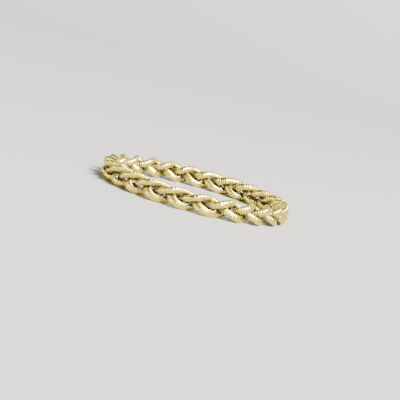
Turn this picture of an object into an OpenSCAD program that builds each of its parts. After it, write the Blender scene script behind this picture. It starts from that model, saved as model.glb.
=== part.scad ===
// Braided band ring: three closed gold strands plaited into one flat band.
// The ring lies on its side: its axis is Z, its lowest lobes touch Z = 0 and its front is at -Y.

/* [Ring] */
// Inside diameter, where the finger goes
bore_d = 17.3; // [14:0.1:22]

/* [Strands] */
// Width of one strand, along the finger
strand_w = 0.79; // [0.6:0.01:0.9]
// Thickness of one strand, outwards from the finger
strand_t = 0.66; // [0.5:0.01:0.8]
// Clearance between neighbouring strands
clearance = 0.03; // [0.02:0.01:0.1]

/* [Plait] */
// Times that each strand swings from edge to edge and back on its way round
weaves = 8; // [6:1:10]
// Turn of the whole plait about the ring's axis, in degrees of one weave
plait_turn = 44; // [0:1:359]
// How much of the hand-plaited irregularity is kept
hand_laid = 1; // [0:0.1:1]

/* [Hidden] */
gold = [0.84, 0.74, 0.45];
strand_count = 3;

// A tight three-strand plait swings by these shares of a strand's own size: sideways until neighbours
// just clear each other, a little further where the lay is steep, and in and out until crossings clear
swing_share = 0.775;
steep_share = 0.3;
lift_share = 0.815;

rise = lift_share * (strand_t + clearance);
mid_r = bore_d / 2 + strand_t / 2 + rise;
lay = weaves * strand_w / mid_r;
reach = swing_share * (strand_w + clearance) * (1 + steep_share * lay * lay);
band_w = 2 * reach + strand_w;

// Where a strand turns round at the band's edge, the side that looks towards the band's middle is wider and
// fills the bottom of the pit between its two neighbours
pit_from_share = 0.97;
pit_share = 0.55;

// Hand-plaited irregularity, one row per twelfth of the ring from the front, anticlockwise from above:
// how far the upper and the lower lobes run ahead, in shares of a lobe's pitch
UPPER = 0;
LOWER = 1;
leads = [
    [0.08, -0.13],
    [0.22, 0.34],
    [0.26, 0.54],
    [0.10, 0.30],
    [-0.06, -0.04],
    [0.02, -0.08],
    [0.06, 0.00],
    [0.00, 0.06],
    [-0.05, 0.00],
    [-0.02, -0.10],
    [-0.04, -0.22],
    [-0.07, -0.27]
];

// Facets: rings of points along one weave, and sides of a strand's section
rings_per_weave = 33;
section_sides = 10;
rings = weaves * rings_per_weave;

front = -90;
lobe_pitch = 360 / (strand_count * weaves);
tiny_turn = 0.01;

function unit(v) = v / norm(v);
function smooth(x) = x * x * (3 - 2 * x);

// Where a strand is in its weave: 90 is an upper lobe's top and 270 a lower lobe's bottom
function weave_at(turn, strand) =
    weaves * (turn - front) + plait_turn + 360 * strand / strand_count;

// A strand's centre line: it swings along the finger once while it goes in and out twice
function centre_at(turn, strand) =
    let (t = weave_at(turn, strand), r = mid_r + rise * sin(2 * t))
    [r * cos(turn), r * sin(turn), reach * sin(t)];

// How much wider the strand is on the side that looks towards the band's middle
function swell_at(t) =
    pit_share * pow(max(0, (abs(sin(t)) - pit_from_share) / (1 - pit_from_share)), 2);

// How far the lobes of one edge run ahead at a place round the ring
function lead_at(turn, edge) =
    let (
        place = (turn - front) / 360 * len(leads),
        row = floor(place),
        before = leads[(row + len(leads)) % len(leads)][edge],
        after = leads[(row + 1 + len(leads)) % len(leads)][edge]
    )
    before + (after - before) * smooth(place - row);

// Turns a point about the ring's axis by the lead at its own place and height
function hand_lay(p) =
    let (
        turn = atan2(p.y, p.x),
        height = p.z / reach,
        ahead = lead_at(turn, UPPER) * (1 + height) / 2 + lead_at(turn, LOWER) * (1 - height) / 2,
        a = hand_laid * lobe_pitch * ahead
    )
    [p.x * cos(a) - p.y * sin(a), p.x * sin(a) + p.y * cos(a), p.z];

// One ring of points round a strand: an oval square to the centre line, wider where it fills a pit
function section_at(turn, strand) =
    let (
        c = centre_at(turn, strand),
        along = unit(centre_at(turn + tiny_turn, strand) - centre_at(turn - tiny_turn, strand)),
        radial = [cos(turn), sin(turn), 0],
        out = unit(radial - (radial * along) * along),
        side = cross(out, along),
        t = weave_at(turn, strand),
        inner_w = strand_w * (1 + swell_at(t))
    )
    [for (i = [0:section_sides - 1])
        let (
            a = 360 * i / section_sides,
            inward = cos(a) * sin(t) < 0,
            half_w = (inward ? inner_w : strand_w) / 2
        )
        hand_lay(c + side * half_w * cos(a) + out * strand_t / 2 * sin(a))];

module strand(number) {
    points = [for (k = [0:rings - 1]) each section_at(360 * k / rings, number)];
    count = len(points);
    faces = [for (k = [0:rings - 1]) for (i = [0:section_sides - 1])
        let (
            a = k * section_sides + i,
            b = k * section_sides + (i + 1) % section_sides,
            c = (b + section_sides) % count,
            d = (a + section_sides) % count
        )
        each [[a, b, c], [a, c, d]]];
    translate([0, 0, band_w / 2])
        polyhedron(points, faces, convexity = 10);
}

module strand_1() { color(gold) strand(0); }
module strand_2() { color(gold) strand(1); }
module strand_3() { color(gold) strand(2); }

strand_1();
strand_2();
strand_3();
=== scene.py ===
"""Braided band ring: three closed gold wires plaited into one flat band, lying on its side on a pale table."""
import math

import bpy
import numpy as np
from mathutils import Matrix, Vector


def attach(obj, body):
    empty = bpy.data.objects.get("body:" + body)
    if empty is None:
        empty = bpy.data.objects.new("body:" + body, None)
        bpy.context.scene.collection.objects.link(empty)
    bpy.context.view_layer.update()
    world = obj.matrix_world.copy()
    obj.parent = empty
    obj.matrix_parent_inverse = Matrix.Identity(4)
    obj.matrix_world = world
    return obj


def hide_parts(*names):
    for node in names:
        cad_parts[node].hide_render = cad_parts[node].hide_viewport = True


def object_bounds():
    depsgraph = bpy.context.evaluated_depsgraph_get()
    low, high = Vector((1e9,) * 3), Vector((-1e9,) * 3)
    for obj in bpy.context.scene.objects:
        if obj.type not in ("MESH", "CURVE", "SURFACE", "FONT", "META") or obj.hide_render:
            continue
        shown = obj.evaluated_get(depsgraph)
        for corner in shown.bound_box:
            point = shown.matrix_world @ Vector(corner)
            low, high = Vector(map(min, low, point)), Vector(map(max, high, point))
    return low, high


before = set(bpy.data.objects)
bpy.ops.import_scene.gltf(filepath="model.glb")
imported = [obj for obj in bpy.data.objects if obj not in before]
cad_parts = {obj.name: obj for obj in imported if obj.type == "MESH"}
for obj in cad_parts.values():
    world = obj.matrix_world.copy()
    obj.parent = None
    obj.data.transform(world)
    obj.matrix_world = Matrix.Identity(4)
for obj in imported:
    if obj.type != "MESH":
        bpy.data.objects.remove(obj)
cad_low, cad_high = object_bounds()

# The view
# The band is seen from its front, a little above its own plane, and turned so that it slopes down to the
# right. The camera stands where that eye was, above the table, and looks past the ring's centre a little.
MM = 0.001
PICTURE_SIDE = 400                     # pixels, both ways
CENTRE_X, CENTRE_Y = 195.5, 188.7      # the ring's centre in the picture, pixels
PIXELS_PER_MM = 9.25                   # at the ring's centre
EYE_DISTANCE = 150 * MM
EYE_ELEVATION = math.radians(8)
ROLL = math.radians(15.2)
SENSOR = 36.0                          # the camera's film width, millimetres
NEAREST_SHOWN = 10 * MM

centre = (Vector(cad_low) + Vector(cad_high)) / 2
back = Vector((0, -math.cos(EYE_ELEVATION), math.sin(EYE_ELEVATION)))
level_right = Vector((1, 0, 0))
level_up = back.cross(level_right)
right = level_right * math.cos(ROLL) + level_up * math.sin(ROLL)
up = level_up * math.cos(ROLL) - level_right * math.sin(ROLL)
eye = centre + back * EYE_DISTANCE
mm_right = (PICTURE_SIDE / 2 - CENTRE_X) / PIXELS_PER_MM
mm_down = (PICTURE_SIDE / 2 - CENTRE_Y) / PIXELS_PER_MM
aim = centre + (right * mm_right - up * mm_down) * MM
back = (eye - aim).normalized()
right = up.cross(back).normalized()
up = back.cross(right)

camera = bpy.data.objects.new("camera", bpy.data.cameras.new("camera"))
camera.data.sensor_width = SENSOR
camera.data.lens = SENSOR * EYE_DISTANCE * PIXELS_PER_MM / (PICTURE_SIDE * MM)
camera.data.clip_start = NEAREST_SHOWN
camera.matrix_world = Matrix.Translation(eye) @ Matrix((right, up, back)).transposed().to_4x4()
bpy.context.scene.collection.objects.link(camera)
bpy.context.scene.camera = camera

# The three strands
# Each is one closed loop of 14 carat yellow gold wire, ribbed across all along and plaited by hand over and
# under the other two.
BORE_D = 17.3                          # millimetres, as all sizes of the strands
STRAND_W = 0.79                        # along the finger
STRAND_T = 0.66                        # outwards from the finger
CLEARANCE = 0.03
WEAVES = 8
PLAIT_TURN = math.radians(44)          # of the whole plait about the ring's axis, in one weave
STRANDS = ("strand_1", "strand_2", "strand_3")
LOBE_PITCH = 2 * math.pi / (len(STRANDS) * WEAVES)
FRONT = -math.pi / 2                   # the turn about the axis at which the ring's front lies
TINY_TURN = 1e-4                       # radians before and after a point, to find where its strand heads
FINE_STEPS = 20                        # steps for each point, in which a strand's length is measured

SWING_SHARE = 0.775                    # how far a tight plait swings, in shares of a strand's own size
STEEP_SHARE = 0.3
LIFT_SHARE = 0.815
RISE = LIFT_SHARE * (STRAND_T + CLEARANCE)
MID_R = BORE_D / 2 + STRAND_T / 2 + RISE
LAY = WEAVES * STRAND_W / MID_R
REACH = SWING_SHARE * (STRAND_W + CLEARANCE) * (1 + STEEP_SHARE * LAY * LAY)
PIT_FROM_SHARE = 0.97                  # share of the reach from which a strand widens into the pit beneath it
PIT_SHARE = 0.55                       # how much wider it gets there, at most
PRESSED = CLEARANCE                    # how much wider the side towards the band's middle is

# how far the lobes of the upper and the lower edge run ahead, in shares of a lobe's pitch,
# one row per twelfth of the ring from the front, anticlockwise from above
UPPER = 0
LOWER = 1
LEADS = np.array([
    [0.08, -0.13],
    [0.22, 0.34],
    [0.26, 0.54],
    [0.10, 0.30],
    [-0.06, -0.04],
    [0.02, -0.08],
    [0.06, 0.00],
    [0.00, 0.06],
    [-0.05, 0.00],
    [-0.02, -0.10],
    [-0.04, -0.22],
    [-0.07, -0.27],
])

RIBS = 290                             # along one strand, 0.25 mm apart: coarse enough to show
POINTS_PER_RIB = 9
SIDES = 32
RIB_DEPTH = 0.06                       # millimetres, at most
RIB_UNEVEN = 0.7                       # share of the depth that a rib may lack
RIB_STRAY = 0.7                        # how far a rib strays from its place, radians of a rib
GROOVE_POWER = 3                       # the higher, the narrower the groove between two ribs
GRAINS_AROUND = 10                     # each rib is broken into so many grains round the wire
GRAIN_DEPTH = 0.03                     # how much lower one grain may lie than the next, millimetres
WORN_SHARE = 0.3                       # how much of a rib's depth wear has taken from the outermost crests
CROWD_REACH = 0.3                      # how far from a neighbour a strand starts to get the painted shade of a crevice
CROWD_TURN = 0.06                      # radians before and after a point in which its neighbours count
CROWD_LOOKS = 9                        # at how many turns in that reach
CORNER_POWER = 4                       # the higher, the squarer the section that the band is taken to have
SEED = 7


def weave_at(turn, number):
    """Where a strand is in its weave: a quarter turn is an upper lobe's top, three quarters a lower one's."""
    return WEAVES * (turn - FRONT) + PLAIT_TURN + 2 * np.pi * number / len(STRANDS)


def centre_line(turn, number):
    """A loop of radius MID_R that swings along the axis once a weave, as a sine, and in and out twice."""
    t = weave_at(turn, number)
    r = MID_R + RISE * np.sin(2 * t)
    return np.stack([r * np.cos(turn), r * np.sin(turn), REACH * np.sin(t)], axis=-1)


def lead_at(turn, edge):
    """The lead of one edge's lobes: the rows of LEADS joined by smooth steps round the ring."""
    place = (turn - FRONT) / (2 * np.pi) * len(LEADS)
    row = np.floor(place).astype(int)
    step = place - row
    before = LEADS[row % len(LEADS), edge]
    after = LEADS[(row + 1) % len(LEADS), edge]
    return before + (after - before) * step * step * (3 - 2 * step)


def hand_lay(points):
    """Each point turns about the axis by the lead of its own place and height, as a plait laid by hand does."""
    turn = np.arctan2(points[..., 1], points[..., 0])
    height = points[..., 2] / REACH
    ahead = lead_at(turn, UPPER) * (1 + height) / 2 + lead_at(turn, LOWER) * (1 - height) / 2
    angle = LOBE_PITCH * ahead
    cos, sin = np.cos(angle), np.sin(angle)
    x, y, z = points[..., 0], points[..., 1], points[..., 2]
    return np.stack([x * cos - y * sin, x * sin + y * cos, z], axis=-1)


def unit(vectors):
    """The same directions with a length of one."""
    return vectors / np.linalg.norm(vectors, axis=-1, keepdims=True)


def even_turns(number, count):
    """Turns round the ring that part the strand's own length evenly: its measured length, read backwards."""
    turn = np.linspace(0, 2 * np.pi, FINE_STEPS * count + 1)
    steps = np.linalg.norm(np.diff(centre_line(turn, number), axis=0), axis=-1)
    length = np.concatenate([[0], np.cumsum(steps)])
    return np.interp(np.arange(count) / count * length[-1], length, turn)


def crowding(points, turn, number):
    """How closely another strand crowds each point: 1 where they touch, and 0 from CROWD_REACH on.

    The gap is the distance to the nearest of a few points of the other two centre lines, taken a little before,
    beside and after the point's own turn, less a strand's mean half thickness.
    """
    nearest = np.full(points.shape[:2], np.inf)
    for other in range(len(STRANDS)):
        if other != number:
            for ahead in np.linspace(-CROWD_TURN, CROWD_TURN, CROWD_LOOKS):
                line = centre_line(turn + ahead, other)
                nearest = np.minimum(nearest, np.linalg.norm(points - line[:, None], axis=-1))
    gap = nearest - (STRAND_W + STRAND_T) / 4
    return np.clip(1 - gap / CROWD_REACH, 0, 1)


def sunk(points):
    """How deep in the band each point lies: 0 on its faces and edges and 1 at its core, where painted shade
    goes.

    The distances from the core, outwards and sideways, are shares of the band's own half sizes. They join as
    a root of the sum of their powers, which rounds the corners of the band's section.
    """
    outwards = (np.hypot(points[..., 0], points[..., 1]) - MID_R) / (RISE + STRAND_T / 2)
    sideways = points[..., 2] / (REACH + STRAND_W / 2)
    joined = (outwards ** CORNER_POWER + sideways ** CORNER_POWER) ** (1 / CORNER_POWER)
    return np.clip(1 - joined, 0, 1)


def grains(random):
    """Even random values from 0 to 1, one for each grain of each rib, joined by straight steps both ways."""
    grid = np.pad(random.uniform(0, 1, (RIBS, GRAINS_AROUND)), ((0, 1), (0, 1)), mode="wrap")
    row, part = np.divmod(np.arange(RIBS * POINTS_PER_RIB), POINTS_PER_RIB)
    along = (part / POINTS_PER_RIB)[:, None]
    column, part = np.divmod(np.arange(SIDES) * GRAINS_AROUND, SIDES)
    around = (part / SIDES)[None, :]
    rows = grid[row] * (1 - along) + grid[row + 1] * along
    return rows[:, column] * (1 - around) + rows[:, column + 1] * around


def rib_grooves(random, around):
    """How deep each point lies in the groove between two ribs, from 0 to 1, for the points around each ring.

    The ribs run round the wire as a fine thread does, one pitch ahead for each time round. Between them, a
    groove has the shape (1 + cos) / 2 to the power GROOVE_POWER, and each grain of it is shallower by chance.
    """
    rib = np.arange(RIBS * POINTS_PER_RIB) / POINTS_PER_RIB
    stray = random.uniform(-1, 1, RIBS)
    stray_here = np.interp(rib, np.arange(RIBS + 1), np.append(stray, stray[0]))
    phase = (2 * np.pi * rib + RIB_STRAY * stray_here)[:, None] + around[None, :]
    groove = ((1 + np.cos(phase)) / 2) ** GROOVE_POWER
    return groove * (1 - RIB_UNEVEN * grains(random))


def strand_surface(number):
    """An oval carried along the centre line, square to it: half_w cos a sideways and half_t sin a outwards.

    The side towards the band's middle is wider by PRESSED, and by up to PIT_SHARE near the edge. Grooves and
    grains are cut inwards, so that only the highest grains keep the wire's full size. It gives the points, and
    for each of them how deep in a groove, how crowded and how sunken it is.
    """
    turn = even_turns(number, RIBS * POINTS_PER_RIB)
    around = np.arange(SIDES) / SIDES * 2 * np.pi
    t = weave_at(turn, number)
    middle = centre_line(turn, number)
    along = unit(centre_line(turn + TINY_TURN, number) - centre_line(turn - TINY_TURN, number))
    radial = np.stack([np.cos(turn), np.sin(turn), np.zeros_like(turn)], axis=-1)
    out = unit(radial - (radial * along).sum(axis=-1, keepdims=True) * along)
    side = np.cross(out, along)

    random = np.random.default_rng(SEED + number)
    groove = rib_grooves(random, around)
    outward = np.sin(around)[None, :]
    lift = np.sin(2 * t)[:, None]
    proud = np.clip(outward * lift, 0, 1)
    depth = RIB_DEPTH * (1 - WORN_SHARE * proud) * groove + GRAIN_DEPTH * grains(random)

    swell = PIT_SHARE * np.clip((np.abs(np.sin(t)) - PIT_FROM_SHARE) / (1 - PIT_FROM_SHARE), 0, 1) ** 2
    inward = np.cos(around)[None, :] * np.sin(t)[:, None] < 0
    half_w = np.where(inward, STRAND_W / 2 * (1 + swell[:, None]) + PRESSED, STRAND_W / 2) - depth
    half_t = STRAND_T / 2 - depth
    sideways = side[:, None] * (half_w * np.cos(around))[..., None]
    outwards = out[:, None] * (half_t * outward)[..., None]
    regular = middle[:, None] + sideways + outwards
    points = hand_lay(regular)
    points[..., 2] += REACH + STRAND_W / 2
    return points, groove, crowding(regular, turn, number), sunk(regular)


def linear(colour):
    """An sRGB hex colour as linear light with full alpha."""
    parts = np.array([int(colour[i:i + 2], 16) for i in (1, 3, 5)]) / 255
    # the sRGB standard's own curve
    light = np.where(parts <= 0.04045, parts / 12.92, ((parts + 0.055) / 1.055) ** 2.4)
    return (*light.tolist(), 1.0)


def add_node(tree, kind, inputs=None, **settings):
    """Adds one node with its settings, and fills its inputs with values or with links from other nodes."""
    node = tree.nodes.new(kind)
    for name, value in settings.items():
        setattr(node, name, value)
    for name, value in (inputs or {}).items():
        if isinstance(value, bpy.types.NodeSocket):
            tree.links.new(value, node.inputs[name])
        else:
            node.inputs[name].default_value = value
    return node


def ramp(tree, value, start, end=(0.0, 1.0), shape="SMOOTHSTEP"):
    """A node that carries a value from one range, given as its two ends, over to another."""
    return add_node(tree, "ShaderNodeMapRange",
                    {"Value": value, "From Min": start[0], "From Max": start[1], "To Min": end[0],
                     "To Max": end[1]}, interpolation_type=shape)


# The gold
# Pale 14 carat yellow gold, ribbed and left matte: the crests, worn smoother, catch the light nearly
# white. Where the strands crowd each other at the crossings and deep in the band's core, a dull olive gold is
# painted in as painted shade, and the grooves between the ribs are darker by their depth.
GOLD_BRIGHT = "#FCE656"
GOLD_PAINTED_SHADE = "#7F7551"
GOLD_IN_GROOVES = "#453D28"
GROOVE_SHARE = 0.8                     # how much of the darker groove colour shows in a groove
CROWDED = (-0.2, 0.35)                 # the crowding at which the painted shade starts and is full
SUNKEN = (0.3, 0.6)                    # the same by the depth in the band
GRAIN = 0.05                           # size of the matting grain, millimetres
GRAIN_HEIGHT = 0.006                   # millimetres
GRAIN_STRENGTH = 0.6
GRAIN_NOISE = {"Detail": 3.0, "Roughness": 0.6}
CLOUD = 1.2                            # size of the slow changes of gloss, millimetres
CLOUD_DETAIL = 2.0
CLOUD_RANGE = (0.3, 0.7)               # the part of its values that is used
ROUGHNESS = (0.26, 0.36)               # of the glossier and the duller places

gold = bpy.data.materials.new("matte ribbed 14 carat yellow gold")
gold.use_nodes = True
tree = gold.node_tree
tree.nodes.clear()
place = add_node(tree, "ShaderNodeTexCoord")
groove = add_node(tree, "ShaderNodeAttribute", attribute_name="groove")
crowded = add_node(tree, "ShaderNodeAttribute", attribute_name="crowded")
sunken = add_node(tree, "ShaderNodeAttribute", attribute_name="sunk")
grain = add_node(tree, "ShaderNodeTexNoise",
                 {"Vector": place.outputs["Object"], "Scale": 1 / (GRAIN * MM), **GRAIN_NOISE})
cloud = add_node(tree, "ShaderNodeTexNoise",
                 {"Vector": place.outputs["Object"], "Scale": 1 / (CLOUD * MM), "Detail": CLOUD_DETAIL})
dark_groove = add_node(tree, "ShaderNodeMath", {0: groove.outputs["Fac"], 1: GROOVE_SHARE},
                       operation="MULTIPLY")
# painted shade: the dull olive gold goes where the strands crowd each other and deep in the band, where the
# crevices lie in shade
close = ramp(tree, crowded.outputs["Fac"], CROWDED)
below = ramp(tree, sunken.outputs["Fac"], SUNKEN)
deep = add_node(tree, "ShaderNodeMath", {0: close.outputs["Result"], 1: below.outputs["Result"]},
                operation="MAXIMUM")
body = add_node(tree, "ShaderNodeMix",
                {0: deep.outputs["Value"], 6: linear(GOLD_BRIGHT), 7: linear(GOLD_PAINTED_SHADE)}, data_type="RGBA")
# a darker colour is mixed in by the depth of the groove between two ribs
colour = add_node(tree, "ShaderNodeMix",
                  {0: dark_groove.outputs["Value"], 6: body.outputs[2], 7: linear(GOLD_IN_GROOVES)},
                  data_type="RGBA")
roughness = ramp(tree, cloud.outputs["Fac"], CLOUD_RANGE, ROUGHNESS, "LINEAR")
bump = add_node(tree, "ShaderNodeBump",
                {"Height": grain.outputs["Fac"], "Strength": GRAIN_STRENGTH, "Distance": GRAIN_HEIGHT * MM})
shader = add_node(tree, "ShaderNodeBsdfPrincipled",
                  {"Base Color": colour.outputs[2], "Metallic": 1.0, "Roughness": roughness.outputs["Result"],
                   "Normal": bump.outputs["Normal"]})
add_node(tree, "ShaderNodeOutputMaterial", {"Surface": shader.outputs["BSDF"]})


def surface_mesh(name, points, closed_both_ways):
    """A grid of points as a mesh of four-sided faces, joined end to end where the surface closes on itself.

    The faces look outwards on a strand, and up on the paper.
    """
    rows, columns = points.shape[:2]
    index = np.arange(rows * columns).reshape(rows, columns)
    if closed_both_ways:
        index = np.pad(index, ((0, 1), (0, 1)), mode="wrap")
    corners = [index[:-1, :-1], index[:-1, 1:], index[1:, 1:], index[1:, :-1]]
    faces = np.stack(corners, axis=-1).reshape(-1, 4)
    mesh = bpy.data.meshes.new(name)
    mesh.from_pydata(points.reshape(-1, 3), [], faces)
    mesh.shade_smooth()
    piece = bpy.data.objects.new(name, mesh)
    bpy.context.scene.collection.objects.link(piece)
    return piece


for number, node in enumerate(STRANDS):
    points, groove_depth, crowd, core = strand_surface(number)
    strand = surface_mesh("ribbed_" + node, points * MM, closed_both_ways=True)
    for name, values in (("groove", groove_depth), ("crowded", crowd), ("sunk", core)):
        layer = strand.data.attributes.new(name, "FLOAT", "POINT")
        layer.data.foreach_set("value", values.ravel().astype(np.float32))
    strand.data.materials.append(gold)
    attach(strand, "root")
    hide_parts(node)

# The table and the backdrop
# One pale matt sheet of paper, flat under the ring and swept up far behind it, so that it has no edge.
PAPER = "#8A8782"
PAPER_HALF_WIDTH = 900 * MM
PAPER_FRONT = -700 * MM
SWEEP_START = 250 * MM
SWEEP_RADIUS = 300 * MM
PAPER_HEIGHT = 900 * MM
PAPER_ROUGHNESS = 0.85
FLAT_ROWS = 12
SWEEP_ROWS = 32
PAPER_COLUMNS = 9

flat_y = np.linspace(PAPER_FRONT, SWEEP_START, FLAT_ROWS)
bend = np.linspace(0, np.pi / 2, SWEEP_ROWS + 1)[1:]
sweep_y = SWEEP_START + SWEEP_RADIUS * np.sin(bend)
profile_y = np.concatenate([flat_y, sweep_y, [SWEEP_START + SWEEP_RADIUS]])
profile_z = np.concatenate([np.zeros_like(flat_y), SWEEP_RADIUS * (1 - np.cos(bend)), [PAPER_HEIGHT]])
paper_x = np.linspace(-PAPER_HALF_WIDTH, PAPER_HALF_WIDTH, PAPER_COLUMNS)
across, along = np.meshgrid(paper_x, np.arange(len(profile_y)))
sheet_points = np.stack([across, profile_y[along], profile_z[along]], axis=-1)
sheet = surface_mesh("paper", sheet_points, closed_both_ways=False)
paper = bpy.data.materials.new("matt paper")
paper.use_nodes = True
paper_shader = paper.node_tree.nodes["Principled BSDF"]
paper_shader.inputs["Base Color"].default_value = linear(PAPER)
paper_shader.inputs["Roughness"].default_value = PAPER_ROUGHNESS
sheet.data.materials.append(paper)

# The light
# A soft box high on the right, in front of the ring, lights the lobes' upper sides and right ends, and two weak
# ones low in front and on the left light their faces. All stand far enough off to light the paper evenly, and
# the room is dim, so that the hollows and the undersides stay dark.
# Each lamp has a name, a place and a side in metres, and a power in watts.
LAMPS = (
    ("key", (0.663, -0.597, 0.803), 0.50, 155),
    ("front", (0.404, -1.111, 0.208), 0.34, 16),
    ("left", (-1.077, -0.502, 0.167), 0.40, 16),
)
ROOM_COLOUR = "#BFC3C9"
ROOM_STRENGTH = 0.02


def soft_box(name, at, size, watts):
    """A square lamp that faces the ring."""
    lamp = bpy.data.objects.new(name, bpy.data.lights.new(name, "AREA"))
    lamp.data.size = size
    lamp.data.energy = watts
    lamp.location = at
    lamp.rotation_euler = (Vector(at) - centre).to_track_quat("Z", "Y").to_euler()
    bpy.context.scene.collection.objects.link(lamp)


for lamp in LAMPS:
    soft_box(*lamp)

room = bpy.data.worlds.new("dim room")
room.use_nodes = True
background = room.node_tree.nodes["Background"]
background.inputs["Color"].default_value = linear(ROOM_COLOUR)
background.inputs["Strength"].default_value = ROOM_STRENGTH
bpy.context.scene.world = room
